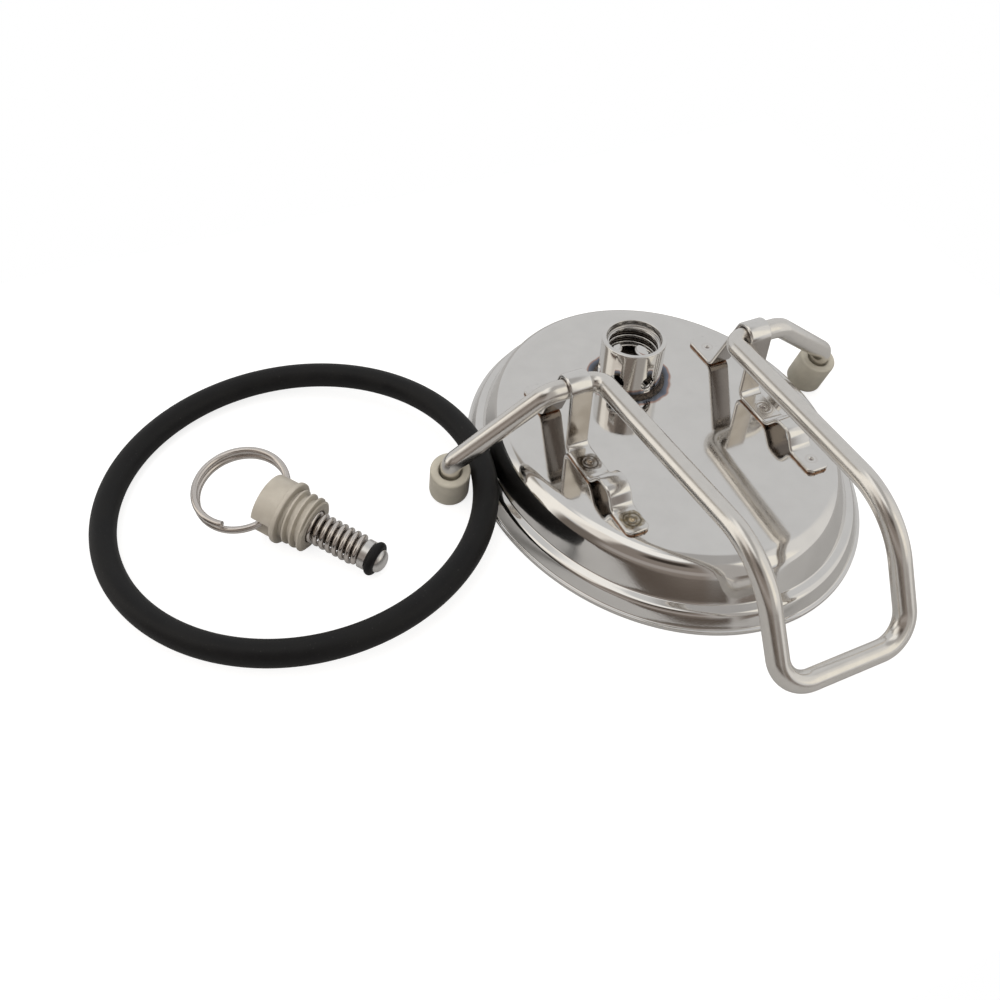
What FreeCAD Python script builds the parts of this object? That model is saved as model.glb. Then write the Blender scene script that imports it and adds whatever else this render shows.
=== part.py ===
import FreeCAD, Part
import math
import os
import Sketcher

# Keg lid: an oval pressed lid with a welded relief port, two spot-welded clips and a
# wire bail on two moulded feet. Its large O-ring and its relief valve lie beside it.
# Millimetres. The origin is the middle of the lid on the surface it lies on, +Z is up,
# +X is the bail's pivot axis and the bail's handle is towards -Y.

Vector = FreeCAD.Vector
Rotation = FreeCAD.Rotation
Placement = FreeCAD.Placement

SIZES = [
    ("lid_half_length", 64.2, "edge of the brim, from the middle along Y"),
    ("lid_half_width", 52.8, "edge of the brim, from the middle along X"),
    ("lid_height", 15.8, "flat plate's top above the brim's underside"),
    ("lid_sheet", 1.2, "thickness of the pressed sheet"),
    ("shoulder_reach", 53.4, "corner of plate and wall, along Y, in mid sheet"),
    ("shoulder_bend", 5.6, "bend radius from plate to wall, in mid sheet"),
    ("crease_reach", 58.4, "corner of wall and ledge, along Y, in mid sheet"),
    ("crease_height", 5.1, "height of that corner"),
    ("crease_bend", 1.2, "bend radius there, in mid sheet"),
    ("ledge_reach", 60.9, "corner of ledge and lower wall, along Y, in mid sheet"),
    ("ledge_height", 4.6, "height of that corner"),
    ("ledge_bend", 1.3, "bend radius there, in mid sheet"),
    ("brim_reach", 62.9, "corner of lower wall and brim, along Y, in mid sheet"),
    ("brim_bend", 1.0, "bend radius there, in mid sheet"),
    ("port_offset", 20.0, "relief port's axis along Y"),
    ("port_radius", 9.1, "outside of the port"),
    ("port_height", 14.6, "port above the plate"),
    ("port_edge", 0.35, "chamfer on the port's outer rim"),
    ("port_mouth_radius", 7.8, "plain mouth above the thread"),
    ("port_mouth_depth", 2.1, "depth of the mouth"),
    ("port_thread_radius", 7.0, "thread's minor radius"),
    ("port_thread_length", 6.6, "threaded length"),
    ("port_chamber_radius", 7.7, "chamber below the thread"),
    ("vent_radius", 2.2, "vent hole in the chamber's wall"),
    ("vent_height", 3.6, "vent's middle above the plate"),
    ("vent_count", 6, "vents round the port"),
    ("seat_radius", 4.2, "valve's seat hole in the plate"),
    ("weld_leg", 1.3, "leg of the weld bead round the port"),
    ("rod_radius", 2.8, "bail's round rod"),
    ("pivot_offset", 3.6, "bail's pivot axis along Y"),
    ("pivot_height", 34.8, "bail's pivot axis above the floor"),
    ("arm_spread", 20.5, "handle arm at the pivot, from the middle along X"),
    ("arm_bend", 4.2, "bend radius there, in the rod's middle"),
    ("knee_spread", 18.4, "handle arm at its knee, along X"),
    ("knee_reach", 67.2, "knee towards -Y"),
    ("knee_height", 37.8, "knee above the floor"),
    ("knee_bend", 22.5, "bend radius at the knee"),
    ("grip_spread", 18.3, "corner of the grip, along X"),
    ("grip_reach", 84.8, "grip towards -Y"),
    ("grip_height", 9.1, "grip above the floor"),
    ("grip_bend", 8.4, "bend radius at the grip's corner"),
    ("cam_spread", 36.4, "where the foot arm leaves the pivot axis, along X"),
    ("cam_bend", 7.0, "bend radius there"),
    ("ankle_bend", 4.6, "bend radius above the foot"),
    ("ankle_rise", 3.2, "corner of the bend above the foot's top face"),
    ("foot_spread", 60.8, "foot's top face, from the middle along X"),
    ("foot_offset", 9.3, "foot's top face along Y"),
    ("foot_height", 11.95, "foot's top face above the floor"),
    ("foot_lean_in", 4.0, "foot's lean towards the middle, degrees"),
    ("foot_lean_back", 15.5, "foot's lean towards +Y, degrees"),
    ("foot_radius", 5.5, "outside of the foot"),
    ("foot_length", 10.9, "length of the foot"),
    ("foot_socket", 7.0, "depth of the foot's socket for the rod"),
    ("foot_edge", 0.9, "rounding of the foot's edges"),
    ("socket_clearance", 0.04, "between rod and socket"),
    ("clip_spread", 27.8, "middle of the clip, along X"),
    ("clip_width", 6.6, "width of the clip's strap"),
    ("clip_sheet", 1.2, "thickness of the strap"),
    ("clip_bend", 1.7, "bend radius at the tabs, in mid sheet"),
    ("clip_clearance", 0.08, "between rod and loop"),
    ("clip_back_end", 26.8, "rear end of the back tab, along Y"),
    ("clip_back_leg", 15.3, "foot of the back leg, along Y"),
    ("hump_start", 13.2, "hump's foot on the middle tab, towards -Y"),
    ("hump_end", 24.9, "hump's foot on the end tab, towards -Y"),
    ("hump_rise", 4.9, "hump's top above the tabs"),
    ("hump_slope", 3.9, "run of the hump's gentle side"),
    ("hump_drop", 2.5, "run of the hump's steep side"),
    ("hump_bend", 1.9, "bend radius on the hump, in mid sheet"),
    ("clip_end", 34.2, "front end of the end tab, towards -Y"),
    ("clip_corner", 1.0, "rounded corners of the tabs"),
    ("spot_back", 21.8, "spot weld on the back tab, along Y"),
    ("spot_middle", 7.4, "spot weld on the middle tab, towards -Y"),
    ("spot_end", 30.0, "spot weld on the end tab, towards -Y"),
    ("spot_radius", 0.8, "dimple of a spot weld"),
    ("spot_depth", 0.35, "depth of the dimple"),
    ("seal_radius", 50.8, "lid O-ring, middle of its section"),
    ("seal_section", 3.5, "lid O-ring, radius of its section"),
    ("seal_offset_x", -100.5, "lid O-ring's middle along X"),
    ("seal_offset_y", 21.4, "lid O-ring's middle along Y"),
    ("seal_lean", 2.7, "O-ring's lean against the lid, degrees"),
    ("seal_turn", -22.0, "heading of its low side from -X, degrees"),
    ("valve_x", -104.5, "collar of the relief valve along X"),
    ("valve_y", 14.2, "collar of the relief valve along Y"),
    ("valve_heading", -51.9, "valve's nose from +X, degrees"),
    ("valve_roll", -11.0, "slot's roll about the valve's axis, degrees"),
    ("head_radius", 8.0, "plug's slotted head"),
    ("head_height", 6.9, "head's top above the collar's middle"),
    ("head_edge", 0.5, "chamfer of the head"),
    ("slot_width", 5.8, "slot across the head"),
    ("slot_floor", 1.2, "slot's floor above the collar's middle"),
    ("collar_radius", 8.75, "plug's collar"),
    ("collar_half", 0.7, "half the collar's thickness"),
    ("neck_radius", 6.5, "plug's neck between collar and thread"),
    ("neck_length", 0.8, "length of the neck"),
    ("plug_thread_radius", 7.5, "plug's thread, over its crests"),
    ("plug_length", 7.9, "plug's end below the collar's middle"),
    ("plug_edge", 0.9, "chamfer at the thread's end"),
    ("spring_pocket_radius", 4.65, "pocket for the spring in the plug's end"),
    ("spring_pocket_depth", 1.5, "depth of that pocket"),
    ("stem_radius", 2.2, "stem where it slides in the plug"),
    ("stem_clearance", 0.06, "between stem and plug"),
    ("stem_shank_radius", 2.75, "stem inside the spring"),
    ("stem_step", 10.8, "step of the stem below the collar's middle"),
    ("stem_top", 5.2, "stem's top above the collar's middle"),
    ("eye_height", 3.3, "eye of the stem above the collar's middle"),
    ("eye_radius", 1.5, "eye of the stem"),
    ("spring_radius", 3.78, "spring, middle of its wire"),
    ("spring_wire", 0.62, "radius of the spring's wire"),
    ("spring_turns", 7.6, "turns of the spring"),
    ("disc_radius", 4.0, "disc that the spring presses"),
    ("disc_top", 22.6, "disc's spring side below the collar's middle"),
    ("disc_thickness", 2.3, "thickness of the disc"),
    ("nose_seal_radius", 3.5, "small O-ring, middle of its section"),
    ("nose_seal_section", 1.2, "small O-ring, radius of its section"),
    ("nose_radius", 3.2, "domed nose"),
    ("nose_length", 1.95, "domed nose below the small O-ring"),
    ("nose_round", 1.9, "rounding of the dome"),
    ("ring_radius", 12.3, "pull ring, middle of its wire"),
    ("ring_wire", 0.95, "radius of the ring's wire"),
    ("ring_pitch", 4.0, "rise of one turn of the ring"),
    ("ring_turns", 1.63, "turns of the ring"),
    ("ring_sway", -1.0, "ring's sway along the slot, degrees"),
    ("ring_droop", 9.0, "ring's droop across the slot, degrees"),
    ("ring_end", 75.5, "where its wire starts, degrees round from the eye"),
    ("bend_chords", 2, "chords that stand for each bend of the lid's section"),
    ("seal_sides", 16, "sides of the O-rings' sections"),
    ("coil_sides", 6, "sides of the wire's section in spring and pull ring"),
    ("floor_gap", 0.05, "under what lies loose on the floor"),
    ("piece_gap", 0.02, "between loose pieces of the valve"),
]

doc = FreeCAD.newDocument("keg_lid")
sheet = doc.addObject("Spreadsheet::Sheet", "Sizes")
for row, (alias, value, note) in enumerate(SIZES, start=1):
    sheet.set(f"A{row}", note)
    sheet.set(f"B{row}", str(value))
    sheet.setAlias(f"B{row}", alias)
doc.recompute()


class Length:
    """A value of the sheet, or a sum of such values, with the formula that gives it."""

    def __init__(self, value, formula):
        self.value = value
        self.formula = formula

    def join(self, other, sign, value):
        text = other.formula if isinstance(other, Length) else str(other)
        return Length(value, f"({self.formula} {sign} {text})")

    def __add__(self, other):
        return self.join(other, "+", self.value + number(other))

    def __sub__(self, other):
        return self.join(other, "-", self.value - number(other))

    def __mul__(self, other):
        return self.join(other, "*", self.value * number(other))

    def __neg__(self):
        return self * -1


def number(item):
    return item.value if isinstance(item, Length) else float(item)


def size(alias):
    return Length(float(sheet.get(alias)), f"Sizes.{alias}")


def value(alias):
    return size(alias).value


def bind(thing, name, length):
    thing.setExpression(name, length.formula)


# Bodies and sketches

def new_body(label):
    body = doc.addObject("PartDesign::Body", label)
    body.Label = label
    return body


def origin_part(body, role):
    return next(item for item in body.Origin.OriginFeatures if item.Role == role)


def new_sketch(body, name, role):
    sketch = body.newObject("Sketcher::SketchObject", name)
    sketch.AttachmentSupport = (origin_part(body, role), [""])
    sketch.MapMode = "FlatFace"
    return sketch


def pin_point(sketch, geometry, x, y):
    """Hold the first point of a line, or the middle of a circle, at x and y."""
    spot = 3 if isinstance(sketch.Geometry[geometry], Part.Circle) else 1
    for kind, axis, place in (("DistanceX", -2, x), ("DistanceY", -1, y)):
        if number(place) == 0:
            sketch.addConstraint(Sketcher.Constraint("PointOnObject", geometry, spot, axis))
            continue
        index = sketch.addConstraint(
            Sketcher.Constraint(kind, -1, 1, geometry, spot, number(place)))
        if isinstance(place, Length):
            bind(sketch, f"Constraints[{index}]", place)


def draw_polygon(sketch, corners):
    """A closed outline whose corners are bound to the sheet."""
    spots = [Vector(number(x), number(y), 0) for x, y in corners]
    count = len(spots)
    for index in range(count):
        sketch.addGeometry(Part.LineSegment(spots[index], spots[(index + 1) % count]))
    for index in range(count):
        sketch.addConstraint(
            Sketcher.Constraint("Coincident", index, 2, (index + 1) % count, 1))
    for index, (x, y) in enumerate(corners):
        pin_point(sketch, index, x, y)


def draw_circle(sketch, x, y, radius):
    centre = Vector(number(x), number(y), 0)
    index = sketch.addGeometry(Part.Circle(centre, Vector(0, 0, 1), radius.value))
    pin_point(sketch, index, x, y)
    held = sketch.addConstraint(Sketcher.Constraint("Radius", index, radius.value))
    bind(sketch, f"Constraints[{held}]", radius)


def turn_profile(body, sketch):
    """Turn a sketch of the XZ plane right round Z."""
    turned = body.newObject("PartDesign::Revolution", body.Label + "_turned")
    turned.Profile = sketch
    turned.ReferenceAxis = (sketch, ["V_Axis"])
    turned.Angle = 360
    doc.recompute()
    return turned


def turned_body(label, corners):
    body = new_body(label)
    sketch = new_sketch(body, label + "_profile", "XZ_Plane")
    draw_polygon(sketch, corners)
    turn_profile(body, sketch)
    return body


def cut_pocket(body, sketch, depth, both_ways=False):
    before = body.Shape.Volume
    pocket = body.newObject("PartDesign::Pocket", sketch.Name + "_cut")
    pocket.Profile = sketch
    pocket.SideType = "Symmetric" if both_ways else "One side"
    bind(pocket, "Length", depth)
    doc.recompute()
    if body.Shape.Volume >= before:
        raise RuntimeError(f"{pocket.Name} cuts nothing")
    return pocket


def edge_names(shape, wanted):
    return [f"Edge{n}" for n, edge in enumerate(shape.Edges, start=1) if wanted(edge)]


def round_edges(body, wanted, radius):
    base = body.Tip
    names = edge_names(base.Shape, wanted)
    fillet = body.newObject("PartDesign::Fillet", body.Label + "_rounding")
    fillet.Base = (base, names)
    bind(fillet, "Radius", radius)
    doc.recompute()
    return fillet


# Paths with rounded corners, for bent rod and bent sheet

def rounded_path(points, radii, chords=0):
    """Straight runs joined by tangent arcs, or by chords; radii are the inner points'."""
    edges = []
    start = points[0]
    for before, corner, after, radius in zip(points, points[1:], points[2:], radii):
        way_in = (corner - before).normalize()
        way_out = (after - corner).normalize()
        half_turn = way_in.getAngle(way_out) / 2
        cut = radius * math.tan(half_turn)
        arc_start = corner - way_in * cut
        arc_end = corner + way_out * cut
        inward = (way_out - way_in).normalize()
        centre = corner + inward * (radius / math.cos(half_turn))
        if (arc_start - start).Length > 1e-6:
            edges.append(Part.LineSegment(start, arc_start))
        if chords:
            outward = (arc_start - centre).normalize()
            swings = [2 * half_turn * step / chords for step in range(chords + 1)]
            spots = [centre + (outward * math.cos(swing) + way_in * math.sin(swing)) * radius
                     for swing in swings]
            edges += [Part.LineSegment(first, second) for first, second in zip(spots, spots[1:])]
            arc_end = spots[-1]
        else:
            edges.append(Part.Arc(arc_start, centre - inward * radius, arc_end))
        start = arc_end
    edges.append(Part.LineSegment(start, points[-1]))
    return edges


def offset_corners(points, shift):
    """Corners of the same open outline moved sideways by shift, to its left."""
    lines = []
    for first, second in zip(points, points[1:]):
        along = (second - first).normalize()
        side = Vector(-along.y, along.x, 0) * shift
        lines.append((first + side, along))
    moved = [lines[0][0]]
    for (spot, along), (other, across) in zip(lines, lines[1:]):
        reach = (other - spot).cross(across).z / along.cross(across).z
        moved.append(spot + along * reach)
    end_side = Vector(-lines[-1][1].y, lines[-1][1].x, 0) * shift
    moved.append(points[-1] + end_side)
    return moved


def bend_signs(points):
    signs = []
    for before, corner, after in zip(points, points[1:], points[2:]):
        turn = (corner - before).cross(after - corner).z
        signs.append(math.copysign(1, turn))
    return signs


def sheet_outline(points, radii, thickness, chords=0):
    """Closed outline of bent sheet, from the line along the middle of its thickness."""
    half = thickness / 2
    signs = bend_signs(points)
    left = offset_corners(points, half)
    right = offset_corners(points, -half)
    left_radii = [radius - sign * half for radius, sign in zip(radii, signs)]
    right_radii = [radius + sign * half for radius, sign in zip(radii, signs)]
    outline = rounded_path(left, left_radii, chords) + rounded_path(right, right_radii, chords)
    outline.append(Part.LineSegment(left[0], right[0]))
    outline.append(Part.LineSegment(left[-1], right[-1]))
    return outline


def place_feature(label, shape, placement=None):
    feature = doc.addObject("Part::Feature", label)
    feature.Label = label
    feature.Shape = shape
    if placement is not None:
        feature.Placement = placement
    return feature


# Pressed lid: its section is turned about Z and squeezed along X, so that every level
# of the shoulder, walls and brim is an oval of the same proportion. Its bends are
# drawn as chords, because squeezed arcs would make a very fine mesh.

lid_height = size("lid_height")
lid_sheet = size("lid_sheet")
half_sheet = lid_sheet.value / 2
lid_line = [
    Vector(0, lid_height.value - half_sheet, 0),
    Vector(value("shoulder_reach"), lid_height.value - half_sheet, 0),
    Vector(value("crease_reach"), value("crease_height"), 0),
    Vector(value("ledge_reach"), value("ledge_height"), 0),
    Vector(value("brim_reach"), half_sheet, 0),
    Vector(value("lid_half_length"), half_sheet, 0),
]
lid_bends = [value(name) for name in
             ("shoulder_bend", "crease_bend", "ledge_bend", "brim_bend")]
lid_round = new_body("lid_section")
lid_sketch = new_sketch(lid_round, "lid_profile", "XZ_Plane")
lid_sketch.addGeometry(sheet_outline(
    lid_line, lid_bends, lid_sheet.value, int(value("bend_chords"))))
turn_profile(lid_round, lid_sketch)

squeeze = FreeCAD.Matrix()
squeeze.scale(value("lid_half_width") / value("lid_half_length"), 1, 1)
lid_pressing = place_feature("lid_pressing", lid_round.Shape.transformGeometry(squeeze))

seat_hole = doc.addObject("Part::Cylinder", "seat_hole")
bind(seat_hole, "Radius", size("seat_radius"))
bind(seat_hole, "Height", lid_height + lid_sheet)
bind(seat_hole, "Placement.Base.y", size("port_offset"))

lid_shell = doc.addObject("Part::Cut", "lid_shell")
lid_shell.Label = "lid_shell"
lid_shell.Base = lid_pressing
lid_shell.Tool = seat_hole


# Relief port: mouth, thread and vented chamber, standing on the plate

port_radius = size("port_radius")
port_height = size("port_height")
port_edge = size("port_edge")
thread_radius = size("port_thread_radius")
mouth_radius = size("port_mouth_radius")
chamber_radius = size("port_chamber_radius")
thread_top = port_height - size("port_mouth_depth")
thread_foot = thread_top - size("port_thread_length")
relief_port = turned_body("relief_port", [
    (chamber_radius, 0),
    (port_radius, 0),
    (port_radius, port_height - port_edge),
    (port_radius - port_edge, port_height),
    (mouth_radius, port_height),
    (mouth_radius, thread_top),
    (thread_radius, thread_top - (mouth_radius - thread_radius)),
    (thread_radius, thread_foot),
    (chamber_radius, thread_foot),
])
vent_sketch = new_sketch(relief_port, "vent", "XZ_Plane")
draw_circle(vent_sketch, 0, size("vent_height"), size("vent_radius"))
vent = relief_port.newObject("PartDesign::Pocket", "vent_cut")
vent.Profile = vent_sketch
vent.Reversed = True
bind(vent, "Length", port_radius + 1)
doc.recompute()
vents = relief_port.newObject("PartDesign::PolarPattern", "vents")
vents.Originals = [vent]
vents.Axis = (origin_part(relief_port, "Z_Axis"), [""])
vents.Angle = 360
vents.Occurrences = int(value("vent_count"))
relief_port.Tip = vents
doc.recompute()

weld_leg = size("weld_leg")
port_weld = turned_body("port_weld", [
    (port_radius, 0),
    (port_radius + weld_leg, 0),
    (port_radius, weld_leg),
])
port_foot = Placement(Vector(0, value("port_offset"), lid_height.value), Rotation())
relief_port.Placement = port_foot
port_weld.Placement = port_foot


# Clips: a strap with a back tab, a loop round the rod, a middle tab, a hump and an end tab

def clip_line():
    tab = lid_height.value + value("clip_sheet") / 2
    pivot_y = value("pivot_offset")
    pivot_z = value("pivot_height")
    loop = value("rod_radius") + value("clip_clearance") + value("clip_sheet") / 2
    back_leg = value("clip_back_leg")
    away_y = pivot_y - back_leg
    away_z = pivot_z - tab
    lean = math.atan2(away_z, away_y) - math.asin(loop / math.hypot(away_y, away_z))
    loop_top = pivot_z + loop
    back_top = back_leg + (loop_top - tab) / math.tan(lean)
    hump_top = tab + value("hump_rise")
    hump_start = -value("hump_start")
    hump_end = -value("hump_end")
    route = [
        (value("clip_back_end"), tab),
        (back_leg, tab),
        (back_top, loop_top),
        (pivot_y - loop, loop_top),
        (pivot_y - loop, tab),
        (hump_start, tab),
        (hump_start - value("hump_slope"), hump_top),
        (hump_end + value("hump_drop"), hump_top),
        (hump_end, tab),
        (-value("clip_end"), tab),
    ]
    bend = value("clip_bend")
    hump_bend = value("hump_bend")
    bends = [bend, loop, loop, bend, bend, hump_bend, hump_bend, bend]
    return [Vector(y, z, 0) for y, z in route], bends


def make_clip(label, side):
    body = new_body(label)
    sketch = new_sketch(body, label + "_strap", "YZ_Plane")
    line, bends = clip_line()
    sketch.addGeometry(sheet_outline(line, bends, value("clip_sheet")))
    pad = body.newObject("PartDesign::Pad", label + "_pad")
    pad.Profile = sketch
    bind(pad, "Length", size("clip_width"))
    doc.recompute()
    round_edges(body, is_tab_corner, size("clip_corner"))
    spots = new_sketch(body, label + "_spots", "XY_Plane")
    bind(spots, "AttachmentOffset.Base.z", lid_height + size("clip_sheet"))
    middle = size("clip_width") * 0.5
    for place in (size("spot_back"), -size("spot_middle"), -size("spot_end")):
        draw_circle(spots, middle, place, size("spot_radius"))
    doc.recompute()
    cut_pocket(body, spots, size("spot_depth"))
    offset = side * value("clip_spread") - value("clip_width") / 2
    body.Placement = Placement(Vector(offset, 0, 0), Rotation())
    return body


def is_tab_corner(edge):
    upright = abs(edge.BoundBox.ZLength - value("clip_sheet")) < 0.01
    at_end = edge.BoundBox.YMin > value("clip_back_end") - 0.01
    at_end = at_end or edge.BoundBox.YMax < 0.01 - value("clip_end")
    return upright and at_end and edge.BoundBox.XLength < 0.01


clips = [make_clip("clip_left", -1), make_clip("clip_right", 1)]


# Feet and bail: the foot's axis fixes the end of the rod on each side

def foot_axis(side):
    """Unit vector down the foot, from its top face to its sole."""
    inward = math.radians(value("foot_lean_in"))
    back = math.radians(value("foot_lean_back"))
    return Vector(-side * math.tan(inward), math.tan(back), -1).normalize()


def foot_top(side):
    return Vector(side * value("foot_spread"), value("foot_offset"), value("foot_height"))


def bail_side(side):
    """Corners of the rod on one side, from its end in the foot to the grip."""
    pivot_y = value("pivot_offset")
    pivot_z = value("pivot_height")
    top = foot_top(side)
    down = foot_axis(side)
    return [
        top + down * (value("foot_socket") - value("socket_clearance")),
        top - down * value("ankle_rise"),
        Vector(side * value("cam_spread"), pivot_y, pivot_z),
        Vector(side * value("arm_spread"), pivot_y, pivot_z),
        Vector(side * value("knee_spread"), -value("knee_reach"), value("knee_height")),
        Vector(side * value("grip_spread"), -value("grip_reach"), value("grip_height")),
    ]


side_bends = [value(name) for name in
              ("ankle_bend", "cam_bend", "arm_bend", "knee_bend", "grip_bend")]
bail_corners = bail_side(-1) + bail_side(1)[::-1]
bail_path = rounded_path(bail_corners, side_bends + side_bends[::-1])
bail_spine = Part.Wire([run.toShape() for run in bail_path])
rod_start = bail_corners[0]
rod_way = bail_corners[1] - bail_corners[0]
rod_section = Part.Face(Part.Wire(
    Part.Circle(rod_start, rod_way, value("rod_radius")).toShape()))
bail_wire = place_feature("bail_wire", bail_spine.makePipe(rod_section))

foot_radius = size("foot_radius")
foot_length = size("foot_length")
foot_edge = size("foot_edge")
socket_radius = size("rod_radius") + size("socket_clearance")
socket_floor = foot_length - size("foot_socket")


def turned_corner(radius, height, edge, chords, top):
    """Chords of a rounded outer edge at (radius, height), from low to high."""
    sign = -1 if top else 1
    spots = []
    for step in range(chords + 1):
        swing = math.pi / 2 * step / chords
        inward = edge * (1 - math.sin(swing))
        inside = edge * (1 - math.cos(swing)) * sign
        spots.append((radius - inward, height + inside))
    return spots[::-1] if top else spots


def make_foot(label, side):
    body = turned_body(label, [
        (0, 0),
        *turned_corner(foot_radius, size("foot_length") * 0, foot_edge, 3, top=False),
        *turned_corner(foot_radius, foot_length, foot_edge, 3, top=True),
        (socket_radius, foot_length),
        (socket_radius, socket_floor),
        (0, socket_floor),
    ])
    sole = foot_top(side) + foot_axis(side) * foot_length.value
    upright = Rotation(Vector(0, 0, 1), -foot_axis(side))
    body.Placement = Placement(sole, upright)
    return body


feet = [make_foot("foot_left", -1), make_foot("foot_right", 1)]


# Lid O-ring: one side on the floor, the other raised on the lid's flange

def turned_ring(label, radius, section, level):
    """An O-ring whose section is a polygon of many sides with the given radius."""
    sides = int(value("seal_sides"))
    corners = []
    for side in range(sides):
        swing = 2 * math.pi * (side + 0.5) / sides
        across = section * round(math.cos(swing), 6)
        corners.append((radius + across, level + section * round(math.sin(swing), 6)))
    return turned_body(label, corners)


seal_lean = value("seal_lean")
seal_lift = value("seal_radius") * math.sin(math.radians(seal_lean)) + value("seal_section")
lid_o_ring = turned_ring(
    "lid_o_ring", size("seal_radius"), size("seal_section"), size("seal_section") * 0)
seal_hinge = Rotation(Vector(0, 0, 1), value("seal_turn")).multVec(Vector(0, -1, 0))
lid_o_ring.Placement = Placement(
    Vector(value("seal_offset_x"), value("seal_offset_y"), seal_lift + value("floor_gap")),
    Rotation(seal_hinge, seal_lean))


# Relief valve, lying on its collar and its small O-ring. Its own frame has the axis as
# Z, up towards the pull ring, the middle of the collar as origin and the slot along X.

nose_seal_section = size("nose_seal_section")
disc_foot = size("disc_top") + size("disc_thickness")
nose_seal_drop = disc_foot + nose_seal_section + size("piece_gap")
nose_top = nose_seal_drop + nose_seal_section + size("piece_gap")


def valve_placement():
    """The lean that brings collar and small O-ring down to one level."""
    run = nose_seal_drop.value - value("collar_half")
    drop = value("collar_radius") - value("nose_seal_radius")
    lean = math.asin(nose_seal_section.value / math.hypot(run, drop))
    lean = math.atan2(drop, run) - lean
    height = value("collar_radius") * math.cos(lean)
    height += value("collar_half") * math.sin(lean) + value("floor_gap")
    heading = Rotation(Vector(0, 0, 1), value("valve_heading"))
    nose = heading.multVec(Vector(math.cos(lean), 0, -math.sin(lean)))
    across = heading.multVec(Vector(0, -1, 0))
    upright = Rotation(across, nose.cross(across), -nose, "ZXY")
    roll = Rotation(Vector(0, 0, 1), value("valve_roll"))
    return Placement(Vector(value("valve_x"), value("valve_y"), height), upright * roll)


valve_place = valve_placement()

head_radius = size("head_radius")
head_height = size("head_height")
head_edge = size("head_edge")
collar_radius = size("collar_radius")
collar_half = size("collar_half")
neck_radius = size("neck_radius")
neck_foot = -(collar_half + size("neck_length"))
crest_radius = size("plug_thread_radius")
plug_end = -size("plug_length")
plug_edge = size("plug_edge")
pocket_radius = size("spring_pocket_radius")
pocket_floor = plug_end + size("spring_pocket_depth")
stem_radius = size("stem_radius")
bore_radius = stem_radius + size("stem_clearance")

valve_plug = turned_body("valve_plug", [
    (bore_radius, head_height),
    (head_radius - head_edge, head_height),
    (head_radius, head_height - head_edge),
    (head_radius, collar_half),
    (collar_radius, collar_half),
    (collar_radius, -collar_half),
    (neck_radius, -collar_half),
    (neck_radius, neck_foot),
    (crest_radius, neck_foot),
    (crest_radius, plug_end + plug_edge),
    (crest_radius - plug_edge, plug_end),
    (pocket_radius, plug_end),
    (pocket_radius, pocket_floor),
    (bore_radius, pocket_floor),
])
slot_sketch = new_sketch(valve_plug, "head_slot", "YZ_Plane")
slot_half = size("slot_width") * 0.5
slot_top = head_height + 1
draw_polygon(slot_sketch, [
    (-slot_half, size("slot_floor")),
    (slot_half, size("slot_floor")),
    (slot_half, slot_top),
    (-slot_half, slot_top),
])
doc.recompute()
cut_pocket(valve_plug, slot_sketch, head_radius * 2 + 2, both_ways=True)

shank_radius = size("stem_shank_radius")
stem_step = -size("stem_step")
stem_top = size("stem_top")
valve_stem = turned_body("valve_stem", [
    (0, -disc_foot),
    (shank_radius, -disc_foot),
    (shank_radius, stem_step),
    (stem_radius, stem_step),
    (stem_radius, stem_top),
    (0, stem_top),
])
eye_sketch = new_sketch(valve_stem, "eye", "YZ_Plane")
draw_circle(eye_sketch, 0, size("eye_height"), size("eye_radius"))
doc.recompute()
cut_pocket(valve_stem, eye_sketch, stem_radius * 2 + 2, both_ways=True)

disc_radius = size("disc_radius")
disc_bore = shank_radius + size("piece_gap")
valve_disc = turned_body("valve_disc", [
    (disc_bore, -disc_foot),
    (disc_radius, -disc_foot),
    (disc_radius, -size("disc_top")),
    (disc_bore, -size("disc_top")),
])

valve_seal = turned_ring(
    "valve_seal", size("nose_seal_radius"), nose_seal_section, -nose_seal_drop)

nose_radius = size("nose_radius")
groove_radius = size("nose_seal_radius") - nose_seal_section - size("piece_gap")
nose_end = nose_top + size("nose_length")
valve_tip = turned_body("valve_tip", [
    (0, -nose_end),
    *turned_corner(nose_radius, -nose_end, size("nose_round"), 4, top=False),
    (nose_radius, -nose_top),
    (groove_radius, -nose_top),
    (groove_radius, -disc_foot),
    (0, -disc_foot),
])

for piece in (valve_plug, valve_stem, valve_disc, valve_seal, valve_tip):
    piece.Placement = valve_place


def coil(radius, wire_radius, pitch, turns):
    """Wire with a section of few sides, wound about Z, from z = 0 at +X."""
    spine = Part.makeHelix(pitch, pitch * turns, radius)
    sides = int(value("coil_sides"))
    corners = []
    for side in range(sides + 1):
        swing = 2 * math.pi * (side + 0.5) / sides
        across = wire_radius * math.cos(swing)
        corners.append(Vector(radius + across, 0, wire_radius * math.sin(swing)))
    return Part.Wire(spine).makePipeShell([Part.makePolygon(corners)], True, True)


spring_wire = value("spring_wire")
spring_foot = -value("disc_top") + spring_wire
spring_head = pocket_floor.value - spring_wire
spring_turns = value("spring_turns")
spring_pitch = (spring_head - spring_foot) / spring_turns
valve_spring = place_feature(
    "valve_spring",
    coil(value("spring_radius"), spring_wire, spring_pitch, spring_turns),
    valve_place * Placement(Vector(0, 0, spring_foot), Rotation()))

# One turn of the pull ring passes through the stem's eye, in the slot. The ring's axis
# is the valve's Y, and the ring droops and sways a little about the eye.

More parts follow.
